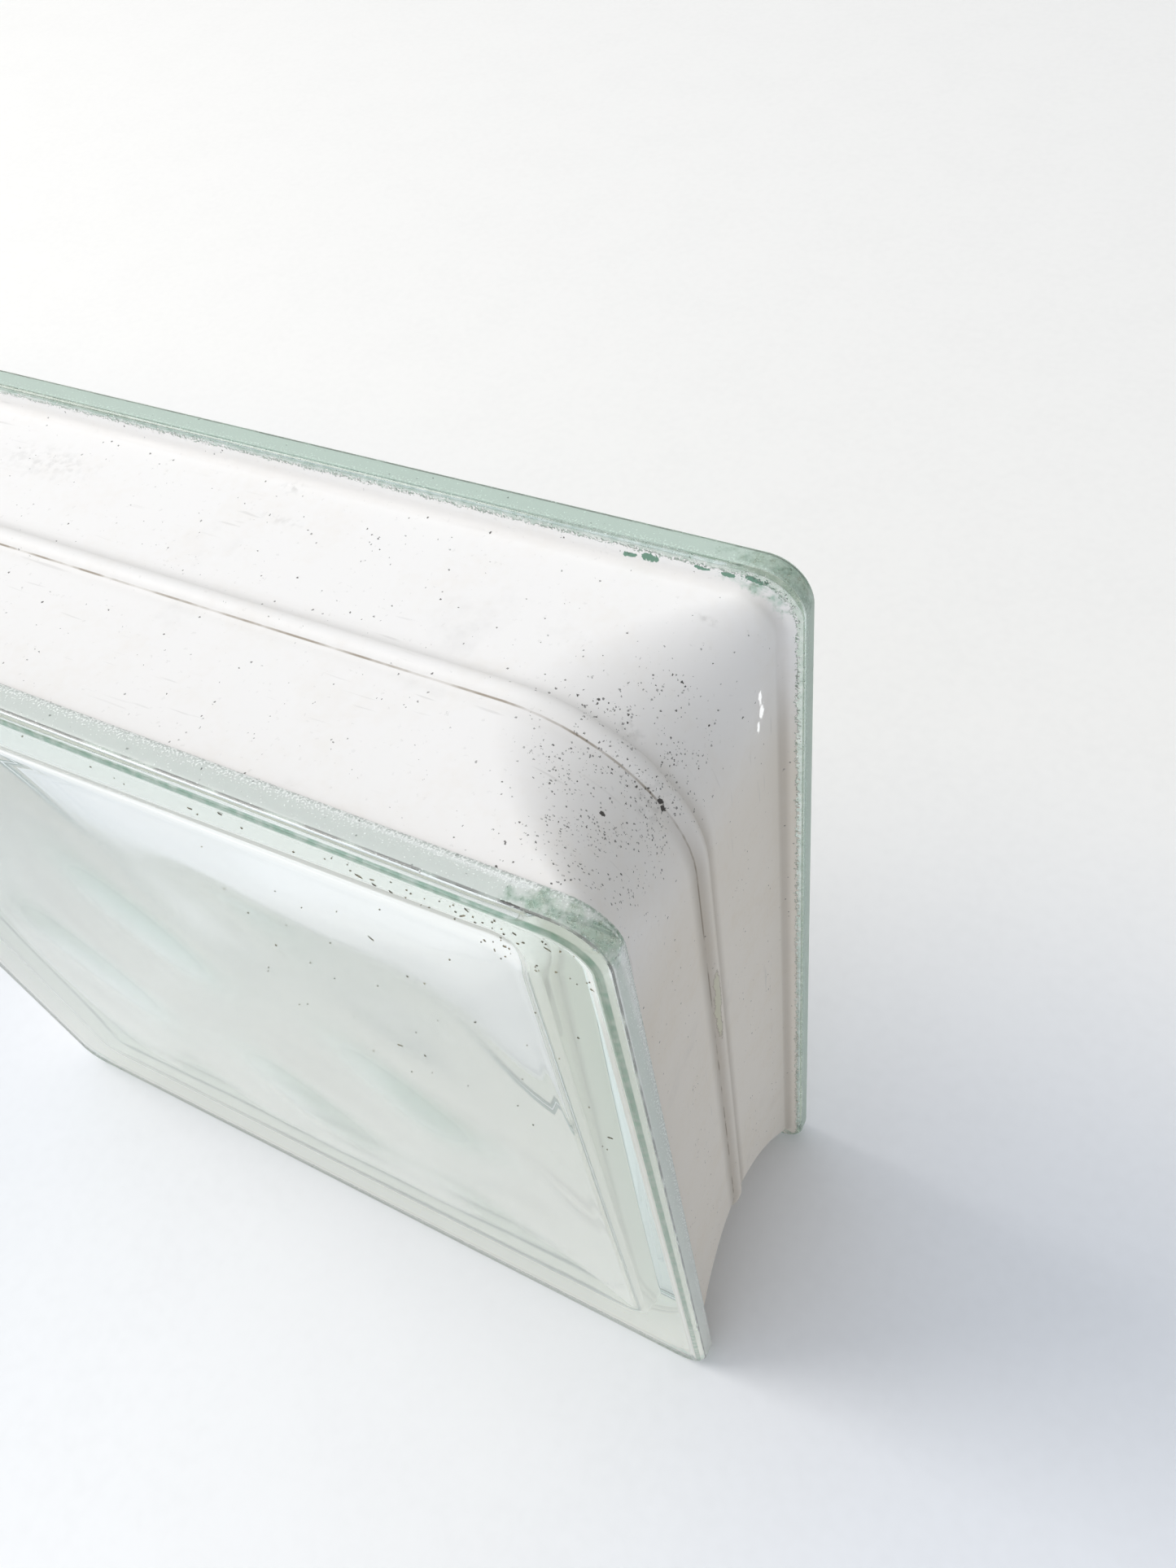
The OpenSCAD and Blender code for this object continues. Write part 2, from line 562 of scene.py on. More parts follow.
def new_group(name: str, inputs: dict[str, float],
              output: str) -> tuple[bpy.types.NodeTree, NodeTree, bpy.types.Node, bpy.types.Node]:
    """Starts a shader node group with a Vector input, number inputs and one number output.

    Args:
        name: Name of the group.
        inputs: Names and defaults of the number inputs.
        output: Name of the output.

    Returns:
        The group, its builder, its input node and its output node.
    """
    group = bpy.data.node_groups.new(name, "ShaderNodeTree")
    group.interface.new_socket("Vector", in_out="INPUT", socket_type="NodeSocketVector")
    for label, value in inputs.items():
        socket = group.interface.new_socket(label, in_out="INPUT", socket_type="NodeSocketFloat")
        socket.default_value = value
    group.interface.new_socket(output, in_out="OUTPUT", socket_type="NodeSocketFloat")
    build = NodeTree(group)
    return group, build, build.add("NodeGroupInput"), build.add("NodeGroupOutput")


class SurfaceEffects:
    """Shader node groups that several finishes share."""

    def __init__(self) -> None:
        """Builds the groups once."""
        self.specks = self._specks()
        self.grain = self._grain()

    def _specks(self) -> bpy.types.NodeTree:
        """Builds ragged specks of dirt.

        Returns:
            The group, whose mask is a half to 1 on a speck.
        """
        group, build, source, result = new_group(
            "dirt_specks", {"Scale": 300.0, "Size": 0.2, "Share": 0.5}, "Mask")
        wobble = build.add("ShaderNodeTexNoise")
        build.join(source.outputs["Vector"], wobble.inputs["Vector"])
        build.join(build.math("MULTIPLY", source.outputs["Scale"], 2.2), wobble.inputs["Scale"])
        wobble.inputs["Detail"].default_value = 1.0
        shift = build.add("ShaderNodeVectorMath", operation="MULTIPLY_ADD")
        build.join(wobble.outputs["Color"], shift.inputs[0])
        spread = build.math("DIVIDE", 0.9, source.outputs["Scale"])
        together = build.add("ShaderNodeCombineXYZ")
        for socket in together.inputs:
            build.join(spread, socket)
        build.join(together.outputs[0], shift.inputs[1])
        build.join(source.outputs["Vector"], shift.inputs[2])
        cells = build.add("ShaderNodeTexVoronoi")
        build.join(shift.outputs[0], cells.inputs["Vector"])
        build.join(source.outputs["Scale"], cells.inputs["Scale"])
        split = build.add("ShaderNodeSeparateColor")
        build.join(cells.outputs["Color"], split.inputs["Color"])
        kept = build.math("LESS_THAN", split.outputs["Red"], source.outputs["Share"])
        growth = build.math("ADD", split.outputs["Green"], 0.35)
        reach = build.math("MULTIPLY", source.outputs["Size"], growth)
        inside = build.math("SUBTRACT", reach, cells.outputs["Distance"])
        edge = build.math("MULTIPLY", inside, 14.0, clamp=True)
        shade = build.math("MULTIPLY_ADD", split.outputs["Blue"], 0.5, 0.5)
        build.join(build.math("MULTIPLY", build.math("MULTIPLY", edge, kept), shade), result.inputs["Mask"])
        return group

    def _grain(self) -> bpy.types.NodeTree:
        """Builds a cloudy grain of two sizes.

        Returns:
            The group, whose value is about 0.5 in the middle.
        """
        group, build, source, result = new_group("cloudy_grain", {"Scale": 100.0, "Fine": 0.35}, "Value")
        vector, scale = source.outputs["Vector"], source.outputs["Scale"]
        broad = build.noise(vector, scale, 3.0, 0.6)
        fine = build.noise(vector, build.math("MULTIPLY", scale, 9.0), 1.0, 0.5)
        node = build.add("ShaderNodeMix", data_type="FLOAT")
        build.join(source.outputs["Fine"], node.inputs[0])
        build.join(broad, node.inputs[2])
        build.join(fine, node.inputs[3])
        build.join(node.outputs[0], result.inputs["Value"])
        return group

    @staticmethod
    def use(build: NodeTree, group: bpy.types.NodeTree, vector: object, **values: object) -> Socket:
        """Places a group in a material.

        Args:
            build: Builder of the material's tree.
            group: The group.
            vector: Coordinates.
            values: The group's inputs by name.

        Returns:
            The group's output.
        """
        node = build.add("ShaderNodeGroup", node_tree=group)
        build.join(vector, node.inputs["Vector"])
        for name, value in values.items():
            build.join(value, node.inputs[name])
        return node.outputs[0]


def new_material(name: str) -> tuple[bpy.types.Material, NodeTree, bpy.types.Node]:
    """Starts a material with one Principled shader.

    Args:
        name: Name of the material.

    Returns:
        The material, its builder and its shader.
    """
    material = bpy.data.materials.new(name)
    material.use_nodes = True
    build = NodeTree(material.node_tree)
    return material, build, material.node_tree.nodes["Principled BSDF"]


@dataclass(frozen=True)
class PressedGlass:
    """Clear soda glass, green in its thickness, with a faint film on its surface."""

    index: float = 1.52
    tint: Triple = (0.30, 0.80, 0.62)
    density: float = 2.5
    film_rough: float = 0.035
    inner_rough: float = 0.12
    edge_tint: Triple = (0.13, 0.25, 0.18)

    def make(self) -> bpy.types.Material:
        """Makes the material.

        Returns:
            The material.
        """
        material, build, shader = new_material("pressed_glass")
        mottle = build.ramp(build.noise(build.place(), 500.0, 1.0), 0.3, 0.65, 0.75, 1.0)
        green = build.math("MULTIPLY", build.attribute("edge"), mottle)
        tint = build.mix(green, (1.0, 1.0, 1.0), self.edge_tint)
        build.join(tint, shader.inputs["Base Color"])
        shader.inputs["Transmission Weight"].default_value = 1.0
        shader.inputs["IOR"].default_value = self.index
        smooth = build.ramp(build.noise(build.place(), 45.0, 1.0), 0.5, 0.75, 0.0, self.film_rough)
        inner = build.attribute("inner")
        build.join(build.math("MULTIPLY_ADD", inner, self.inner_rough, smooth), shader.inputs["Roughness"])
        absorb = build.add("ShaderNodeVolumeAbsorption")
        absorb.inputs["Color"].default_value = (*self.tint, 1.0)
        absorb.inputs["Density"].default_value = self.density
        out = material.node_tree.nodes["Material Output"]
        build.join(absorb.outputs[0], out.inputs["Volume"])
        return material


@dataclass(frozen=True)
class Mark:
    """One patch on the coat: its place, its half sizes and its strength."""

    centre: Triple
    half: Triple
    strength: float = 1.0


@dataclass(frozen=True)
class CoatNodes:
    """What the coat's masks read: the builder, the shared groups and the patterns over the coat."""

    build: NodeTree
    effects: SurfaceEffects
    place: Socket
    reach: Socket
    front: Socket
    ragged: Socket
    jagged: Socket
    shake: float = 1.8

    def patches(self, edge: Socket, marks: tuple[Mark, ...], low: float, high: float) -> Socket:
        """Gives patches with broken edges.

        Args:
            edge: Noise that breaks the edges.
            marks: The patches.
            low: Share of its half sizes to which a patch is whole.
            high: Share at which it has ended.

        Returns:
            The mask, up to each patch's strength.
        """
        build = self.build
        shift = build.math("MULTIPLY_ADD", edge, self.shake, -self.shake / 2)
        masks = []
        for mark in marks:
            away = build.math("ADD", build.near(self.place, mark.centre, mark.half), shift)
            masks.append(build.ramp(away, low, high, mark.strength, 0.0))
        return build.most(*masks)

    def specks(self, scale: float, size: float, share: object) -> Socket:
        """Gives a mask of ragged specks from the shared group."""
        group = self.effects.specks
        return self.effects.use(self.build, group, self.place, Scale=scale, Size=size, Share=share)


@dataclass(frozen=True)
class WhiteCoat:
    """Matt white coat with scuffs, specks and dirty grooves, broken along its borders.

    Its sides, the fillets under the rims and faint pits carry painted shade, and its drips glow as a
    painted highlight. Its underside, seen through the glass, glows with painted light, brighter towards
    the top, in place of the daylight that passes through the thin coat.
    The points' reach is the way along the section past the foot of the rim's flank, in millimetres:
    below zero in the channel, about 1.4 at the rim's edge, 3 to 6 on the land and 7 at the film's end.
    Pairs of heights are in metres above the floor, and the bare corner is measured from the middle.
    """

    white: Triple = (0.9, 0.887, 0.87)
    warm: Triple = (0.80, 0.74, 0.65)
    scuff_and_pit_shade: Triple = (0.50, 0.49, 0.47)
    groove_dirt_and_shade: Triple = (0.30, 0.25, 0.19)
    film: Triple = (0.84, 0.87, 0.84)
    back_film: Triple = (0.62, 0.74, 0.66)
    green: Triple = (0.40, 0.55, 0.45)
    olive: Triple = (0.20, 0.25, 0.16)
    flake: Triple = (0.62, 0.60, 0.47)
    stain: Triple = (0.15, 0.14, 0.14)
    speck: Triple = (0.045, 0.04, 0.036)
    fresh: Triple = (0.98, 0.98, 0.97)
    chip: Triple = (0.16, 0.30, 0.22)
    painted_drip_highlight: Triple = (0.4, 0.4, 0.39)
    underside_glow_low: Triple = (0.225, 0.24, 0.225)
    underside_glow_high: Triple = (0.43, 0.44, 0.43)
    side_shade_heights: tuple[float, float] = (0.19, 0.224)
    upright_heights: tuple[float, float] = (0.2, 0.225)
    lit_heights: tuple[float, float] = (0.2, 0.237)
    film_end: float = 6.82
    fillet_reach: float = -1.7
    bump_strength: float = 0.3
    bump_depth: float = 0.0003
    speck_crowd: Mark = Mark((104.0, -7.0, 225.5), (10.0, 15.0, 9.0))
    bare_corner: Mark = Mark((112.0, 36.5, 115.5), (9.0, 3.4, 5.0))
    smudges: tuple[Mark, ...] = (
        Mark((15.9, 30.2, 235.5), (3.0, 2.0, 5.0), 0.45),
        Mark((18.7, 22.0, 234.8), (6.0, 1.5, 5.0), 0.25),
        Mark((-43.0, 21.0, 235.0), (15.0, 5.0, 5.0), 0.3),
        Mark((105.8, 26.1, 233.9), (3.0, 0.8, 3.0), 0.4),
        Mark((101.5, 4.4, 227.6), (2.6, 1.6, 3.0), 0.45),
        Mark((108.5, -4.0, 221.0), (4.0, 4.0, 4.0), 0.35),
    )
    blots: tuple[Mark, ...] = (
        Mark((108.9, -2.0, 220.0), (0.8, 0.5, 1.3)),
        Mark((109.5, -2.4, 218.8), (0.8, 0.5, 1.0)),
        Mark((104.4, -12.3, 227.4), (0.7, 0.6, 0.7)),
        Mark((105.0, -38.3, 239.85), (2.4, 0.22, 0.5), 0.9),
    )
    chips: tuple[Mark, ...] = (
        Mark((88.0, 33.0, 237.2), (1.6, 1.5, 0.5)),
        Mark((92.0, 33.2, 237.6), (2.0, 1.5, 0.8)),
        Mark((101.5, 33.3, 238.0), (1.4, 1.5, 0.4)),
        Mark((106.5, 33.3, 238.0), (2.0, 1.5, 0.5)),
        Mark((111.5, 33.4, 238.3), (2.6, 1.5, 0.8)),
    )
    flakes: tuple[Mark, ...] = (
        Mark((115.2, -0.8, 157.0), (3.0, 0.8, 7.0)),
        Mark((114.9, -1.2, 146.0), (3.0, 0.7, 9.0)),
    )
    drips_and_glints: tuple[Mark, ...] = (
        Mark((115.1, 25.3, 218.7), (1.5, 0.5, 1.8)),
        Mark((115.1, 25.7, 214.6), (1.5, 0.8, 2.2)),
        Mark((115.0, 24.3, 211.9), (1.5, 0.5, 1.6)),
    )

    def make(self, effects: SurfaceEffects, foot: float) -> bpy.types.Material:
        """Makes the material.

        Args:
            effects: Shared shader groups.
            foot: Reach of the bead's foot.

        Returns:
            The material.
        """
        material, build, shader = new_material("white_edge_coat")
        place = build.place()
        _, depth, height = build.axes(place)
        nodes = CoatNodes(build, effects, place, reach=build.attribute("reach"),
                          front=build.math("LESS_THAN", depth, 0.0),
                          ragged=build.noise(place, 420.0, 3.0, 0.65),
                          jagged=build.noise(place, 1100.0, 2.0, 0.65))
        grain = effects.use(build, effects.grain, place, Scale=60.0, Fine=0.3)
        bare = nodes.patches(nodes.ragged, self._bare_corners(), 0.6, 1.3)
        drips_and_glints = nodes.patches(nodes.jagged, self.drips_and_glints, 0.8, 1.0)
        line = self._film_line(nodes)
        colour = self._colour(nodes, foot, grain, bare, drips_and_glints, line)
        build.join(colour, shader.inputs["Base Color"])
        rough = build.ramp(grain, 0.3, 0.7, 0.5, 0.62)
        build.join(build.math("MULTIPLY_ADD", drips_and_glints, -0.4, rough), shader.inputs["Roughness"])
        build.join(build.most(self._cover(nodes, bare), line), shader.inputs["Alpha"])
        # Painted light: the underside glows, brighter towards the top, in place of daylight through the thin
        # coat, and the drips glow as a painted highlight.
        lit = build.mix(build.ramp(height, *self.lit_heights), self.underside_glow_low, self.underside_glow_high)
        lit = build.mix(build.attribute("under"), (0.0, 0.0, 0.0), lit)
        build.join(build.mix(drips_and_glints, lit, self.painted_drip_highlight), shader.inputs["Emission Color"])
        shader.inputs["Emission Strength"].default_value = 1.0
        material.cycles.emission_sampling = "NONE"
        bump = build.add("ShaderNodeBump")
        bump.inputs["Strength"].default_value = self.bump_strength
        bump.inputs["Distance"].default_value = self.bump_depth
        build.join(grain, bump.inputs["Height"])
        build.join(bump.outputs[0], shader.inputs["Normal"])
        return material

    def _colour(self, nodes: CoatNodes, foot: float, grain: Socket, bare: Socket, drips_and_glints: Socket,
                line: Socket) -> Socket:
        """Lays painted shade on the sides and in the fillets, and the tones of dirt, wear and film, over the
        white.

        Args:
            nodes: What the masks read.
            foot: Reach of the bead's foot.
            grain: Cloudy grain of the coat.
            bare: Mask of the bare corners.
            drips_and_glints: Mask of the fresh drips, which the emission also lights as a painted glint.
            line: Mask of the line that ends the film.

        Returns:
            The colour.
        """
        build = nodes.build
        # Painted shade: below the top the coat turns warmer and darker, as shade on the sides; the warm
        # grain mottle added with it is the coat's own tone.
        side_shade = build.ramp(build.axes(nodes.place)[2], *self.side_shade_heights, 0.8, 0.0)
        torn = build.math("MULTIPLY", nodes.patches(nodes.ragged, self.flakes, 1.0, 1.4), 0.75)
        layers = (
            (build.math("ADD", side_shade, build.ramp(grain, 0.45, 0.75, 0.0, 0.2)), self.warm),
            # The groove tone is dirt in the joint and on torn flakes, and painted shade in the fillets.
            (build.most(self._grooves_and_shade(nodes, foot), torn), self.groove_dirt_and_shade),
            (nodes.patches(nodes.ragged, self.flakes, 0.8, 1.05), self.flake),
            (self._scuffs(nodes), self.scuff_and_pit_shade),
            (build.ramp(nodes.reach, 1.6, 2.6), build.mix(nodes.front, self.back_film, self.film)),
            (bare, self.green),
            (build.math("MULTIPLY", bare, build.ramp(nodes.jagged, 0.48, 0.66, 0.0, 0.6)), self.olive),
            (nodes.patches(nodes.jagged, self.chips, 0.8, 0.95), self.chip),
            (line, self.stain),
            (self._specks(nodes), self.speck),
            (drips_and_glints, self.fresh),
        )
        colour = self.white
        for share, tone in layers:
            colour = build.mix(share, colour, tone)
        return colour

    def _grooves_and_shade(self, nodes: CoatNodes, foot: float) -> Socket:
        """Finds the dark joint and a soft brown wash beside the bead, and painted shade in the fillets under
        the rims.

        Args:
            nodes: What the masks read.
            foot: Reach of the bead's foot.

        Returns:
            The mask.
        """
        build, place = nodes.build, nodes.place
        upright = build.ramp(build.axes(place)[2], *self.upright_heights, 1.0, 0.0)
        either = build.most(nodes.front, build.math("MULTIPLY", upright, 0.8))
        beside = build.off(nodes.reach, foot)
        broken = build.ramp(build.noise(place, 110.0, 3.0), 0.35, 0.6, 0.3, 0.95)
        crack = build.math("MULTIPLY", build.ramp(beside, 0.1, 0.34, 1.0, 0.0), either)
        joint = build.math("MULTIPLY", crack, broken)
        wash = build.ramp(beside, 0.2, 3.6, 0.4, 0.0)
        soft = build.math("MULTIPLY", wash, build.math("ADD", upright, 0.2))
        # Painted shade in the fillet under each rim, deeper on the upright sides.
        under = build.ramp(build.off(nodes.reach, self.fillet_reach), 0.3, 1.9, 1.0, 0.0)
        fillet = build.math("MULTIPLY", under, build.math("MULTIPLY_ADD", upright, 0.25, 0.16))
        return build.most(joint, soft, fillet)

    def _scuffs(self, nodes: CoatNodes) -> Socket:
        """Finds the grey smudges, thin scratches and the painted shade in faint pits.

        Args:
            nodes: What the masks read.

        Returns:
            The mask.
        """
        build, place = nodes.build, nodes.place
        cloud = build.ramp(build.noise(place, 38.0, 5.0, 0.62), 0.6, 0.85, 0.0, 0.4)
        drawn = build.add("ShaderNodeMapping")
        build.join(place, drawn.inputs["Vector"])
        drawn.inputs["Rotation"].default_value = (0.0, 0.0, 0.5)
        drawn.inputs["Scale"].default_value = (60.0, 900.0, 60.0)
        line = build.ramp(build.noise(drawn.outputs[0], 1.0, 2.0), 0.66, 0.72, 0.0, 0.3)
        strokes = build.math("MULTIPLY", line, build.ramp(build.noise(place, 26.0, 2.0), 0.45, 0.6))
        rubbed = build.math("MULTIPLY", nodes.patches(nodes.ragged, self.smudges, 0.0, 1.2),
                            build.ramp(build.noise(place, 700.0, 3.0), 0.4, 0.62))
        # Painted shade in faint pits.
        pit_shade = build.math("MULTIPLY", nodes.specks(800.0, 0.2, 0.5), 0.22)
        return build.most(cloud, strokes, rubbed, pit_shade)

    def _specks(self, nodes: CoatNodes) -> Socket:
        """Finds the dark specks, thick round the upper right corner of the waist.

        Args:
            nodes: What the masks read.

        Returns:
            The mask.
        """
        build = nodes.build
        corner = build.near(nodes.place, self.speck_crowd.centre, self.speck_crowd.half)
        gather = build.ramp(build.noise(nodes.place, 160.0, 3.0), 0.4, 0.62, 0.15, 1.4)
        crowd = build.math("MULTIPLY", build.ramp(corner, 0.2, 2.3, 0.95, 0.03), gather)
        fine = nodes.specks(1700.0, 0.32, crowd)
        coarse = nodes.specks(720.0, 0.17, build.math("MULTIPLY", crowd, 0.35))
        return build.most(fine, coarse, nodes.patches(nodes.jagged, self.blots, 0.7, 0.9))

    def _film_line(self, nodes: CoatNodes) -> Socket:
        """Finds the thin dark line that ends the film beside the faces.

        Args:
            nodes: What the masks read.

        Returns:
            The mask.
        """
        build = nodes.build
        broken = build.ramp(build.noise(nodes.place, 160.0, 3.0), 0.35, 0.55, 0.3, 0.9)
        line = build.ramp(build.off(nodes.reach, self.film_end), 0.05, 0.16, 1.0, 0.0)
        return build.math("MULTIPLY", line, broken)

    def _cover(self, nodes: CoatNodes, bare: Socket) -> Socket:
        """Finds the coat's cover: whole in the channel, stippled over the flanks, a film on the lands.

        Args:
            nodes: What the masks read.
            bare: Mask of the bare corners.

        Returns:
            The cover.
        """
        build, reach = nodes.build, nodes.reach
        dots = build.noise(nodes.place, 2400.0, 1.0, 0.5)
        border = build.math("MULTIPLY_ADD", build.math("SUBTRACT", nodes.ragged, 0.5), 2.6, 0.8)
        solid = build.ramp(build.math("SUBTRACT", border, reach), -0.15, 0.15)
        flank_dots = build.math("SUBTRACT", dots, build.ramp(reach, 0.6, 2.0, 0.46, 0.68))
        stipple = build.ramp(flank_dots, 0.0, 0.04)
        begin = build.math("MULTIPLY_ADD", nodes.front, -1.6, 2.7)
        wide = build.math("MULTIPLY", build.ramp(build.math("SUBTRACT", reach, begin), 0.0, 0.5),
                          build.ramp(reach, 6.6, 6.9, 1.0, 0.0))
        clear = build.math("MULTIPLY_ADD", nodes.front, -0.17, 0.72)
        land_dots = build.math("SUBTRACT", dots, build.ramp(reach, 2.2, 5.2, 0.46, 0.68))
        film = build.math("MULTIPLY", wide, build.ramp(land_dots, 0.0, 0.05, clear, 0.95))
        worn = build.math("MULTIPLY_ADD", build.math("MULTIPLY", film, bare), -0.4, film)
        return build.most(solid, stipple, worn)

    def _bare_corners(self) -> tuple[Mark, ...]:
        """Lists the rim corners that the film leaves bare.

        Returns:
            A patch on each of the eight corners.
        """
        across, depth, up = self.bare_corner.centre
        signs = [(x, y, z) for x in (-1, 1) for y in (-1, 1) for z in (-1, 1)]
        return tuple(Mark((x * across, y * depth, SIZES.half_side + z * up), self.bare_corner.half)
                     for x, y, z in signs)


@dataclass(frozen=True)
class DryDirt:
    """Dry brown dirt in small crumbs."""

    dark: Triple = (0.09, 0.075, 0.05)
    pale: Triple = (0.36, 0.31, 0.21)

    def make(self, effects: SurfaceEffects) -> bpy.types.Material:
        """Makes the material.

        Args:
            effects: Shared shader groups.

        Returns:
            The material.
        """
        material, build, shader = new_material("dry_dirt")
        grain = effects.use(build, effects.grain, build.place(), Scale=500.0, Fine=0.3)
        colour = build.mix(build.ramp(grain, 0.4, 0.65), self.dark, self.pale)
        build.join(colour, shader.inputs["Base Color"])
        build.join(build.ramp(grain, 0.3, 0.7, 0.7, 0.9), shader.inputs["Roughness"])
        return material


@dataclass(frozen=True)
class PaleFloor:
    """Matt white floor with a faint grain, whose colour paints in light and shade: lightest in front of
    the block, a bluish painted shade to the right, painted warm light towards the back and painted
    shade towards the left.

    Rays that come through glass see a duller tone on the floor's far part, and a weak glow.
    """

    front: Triple = (0.95, 0.955, 0.965)
    right: Triple = (0.885, 0.91, 0.955)
    back: Triple = (0.93, 0.92, 0.895)
    left: Triple = (0.645, 0.68, 0.725)
    distant: Triple = (0.42, 0.41, 0.35)
    seen: Triple = (0.90, 0.94, 0.98)
    speck: Triple = (0.5, 0.5, 0.5)
    grain: float = 0.05
    glow: float = 0.07
    rough: float = 0.6
    gloss: float = 0.3

    def make(self, effects: SurfaceEffects) -> bpy.types.Material:
        """Makes the material.

        Args:
            effects: Shared shader groups.

        Returns:
            The material.
        """
        material, build, shader = new_material("pale_floor")
        place = build.place()
        x, y, _ = build.axes(place)
        # Painted light and shade: lighter in front of the block, a bluish shade to the right, warm light
        # towards the back and a deep shade towards the left.
        colour = build.mix(build.ramp(x, 0.06, 0.2), self.front, self.right)
        colour = build.mix(build.ramp(y, 0.0, 0.25), colour, self.back)
        left_shade_mask = build.math("MULTIPLY", build.ramp(x, -0.35, 0.02, 1.0, 0.0),
                           build.ramp(y, 0.0, 0.35, 1.0, 0.0))
        colour = build.mix(left_shade_mask, colour, self.left)
        grain = effects.use(build, effects.grain, place, Scale=25.0, Fine=0.5)
        colour = build.mix(build.ramp(grain, 0.35, 0.75, 0.0, self.grain), colour, self.speck)
        through = build.through_glass()
        far = build.math("MULTIPLY", through, build.ramp(y, 0.4, 0.7))
        build.join(build.mix(far, colour, self.distant), shader.inputs["Base Color"])
        shader.inputs["Roughness"].default_value = self.rough
        shader.inputs["Specular IOR Level"].default_value = self.gloss
        build.join((*self.seen, 1.0), shader.inputs["Emission Color"])
        build.join(build.math("MULTIPLY", through, self.glow), shader.inputs["Emission Strength"])
        return material


class ShapeTree:
    """A Geometry Nodes tree that shapes an object and gives it its material."""

    NAME = "shape"
    INPUTS: dict[str, str] = {}

    def __init__(self) -> None:
        """Builds the tree with its named inputs."""
        self.tree = bpy.data.node_groups.new(self.NAME, "GeometryNodeTree")
        face = self.tree.interface
        face.new_socket("Geometry", in_out="INPUT", socket_type="NodeSocketGeometry")
        self.sockets = {name: face.new_socket(name, in_out="INPUT", socket_type=kind).identifier
                        for name, kind in {**self.INPUTS, "Material": "NodeSocketMaterial"}.items()}
        face.new_socket("Geometry", in_out="OUTPUT", socket_type="NodeSocketGeometry")
        build = NodeTree(self.tree)
        source, result = build.add("NodeGroupInput"), build.add("NodeGroupOutput")
        real = build.add("GeometryNodeRealizeInstances")
        build.join(self.shape(build, source), real.inputs[0])
        dress = build.add("GeometryNodeSetMaterial")
        build.join(real.outputs[0], dress.inputs["Geometry"])
        build.join(source.outputs["Material"], dress.inputs["Material"])
        build.join(dress.outputs[0], result.inputs["Geometry"])

    def shape(self, build: NodeTree, source: bpy.types.Node) -> Socket:
        """Adds the nodes that make the shape.

        Args:
            build: Builder of the tree.
            source: The tree's input node.

        Returns:
            The shaped geometry.
        """
        raise NotImplementedError

    def apply(self, thing: bpy.types.Object, **values: object) -> None:
        """Runs the tree on an object and leaves the result as its plain mesh.

        Args:
            thing: The object.
            values: The tree's inputs by name, with _ for a space.
        """
        modifier = thing.modifiers.new(self.NAME, "NODES")
        modifier.node_group = self.tree
        for name, value in values.items():
            modifier[self.sockets[name.replace("_", " ")]] = value
        evaluated = thing.evaluated_get(bpy.context.evaluated_depsgraph_get())
        mesh = bpy.data.meshes.new_from_object(evaluated)
        thing.modifiers.clear()
        mesh.name = thing.name
        thing.data = mesh


class WaveTree(ShapeTree):
    """Presses the wave relief into the panes' inner faces."""

    NAME = "pane_waves"
    INPUTS = {"Wave Height": "NodeSocketFloat", "Wave Length": "NodeSocketFloat"}
    STRETCHES = ((0.0, 1.0), (68.0, 1.35), (131.0, 0.8))

    def shape(self, build: NodeTree, source: bpy.types.Node) -> Socket:
        """Moves the points through the thickness by three crossing waves.

        Args:
            build: Builder of the tree.
            source: The tree's input node.

        Returns:
            The pressed geometry.
        """
        x, _, z = build.axes(build.add("GeometryNodeInputPosition").outputs[0])
        up = build.math("SUBTRACT", z, SIZES.half_side * MM)
        turn = build.stored("wave_turn")
        total = 0.0
        for more, stretch in self.STRETCHES:
            angle = build.math("ADD", turn, math.radians(more))
            along = build.math("ADD", build.math("MULTIPLY", x, build.math("COSINE", angle)),
                               build.math("MULTIPLY", up, build.math("SINE", angle)))
            span = build.math("MULTIPLY", source.outputs["Wave Length"], stretch / math.tau)
            total = build.math("ADD", total, build.math("SINE", build.math("DIVIDE", along, span)))
        lift = build.math("MULTIPLY", build.math("MULTIPLY", total, source.outputs["Wave Height"]), 1 / 6)
        offset = build.add("ShaderNodeCombineXYZ")
        build.join(build.math("MULTIPLY", lift, build.stored("wave_share")), offset.inputs["Y"])
        move = build.add("GeometryNodeSetPosition")
        build.join(source.outputs["Geometry"], move.inputs["Geometry"])
        build.join(offset.outputs[0], move.inputs["Offset"])
        return move.outputs[0]


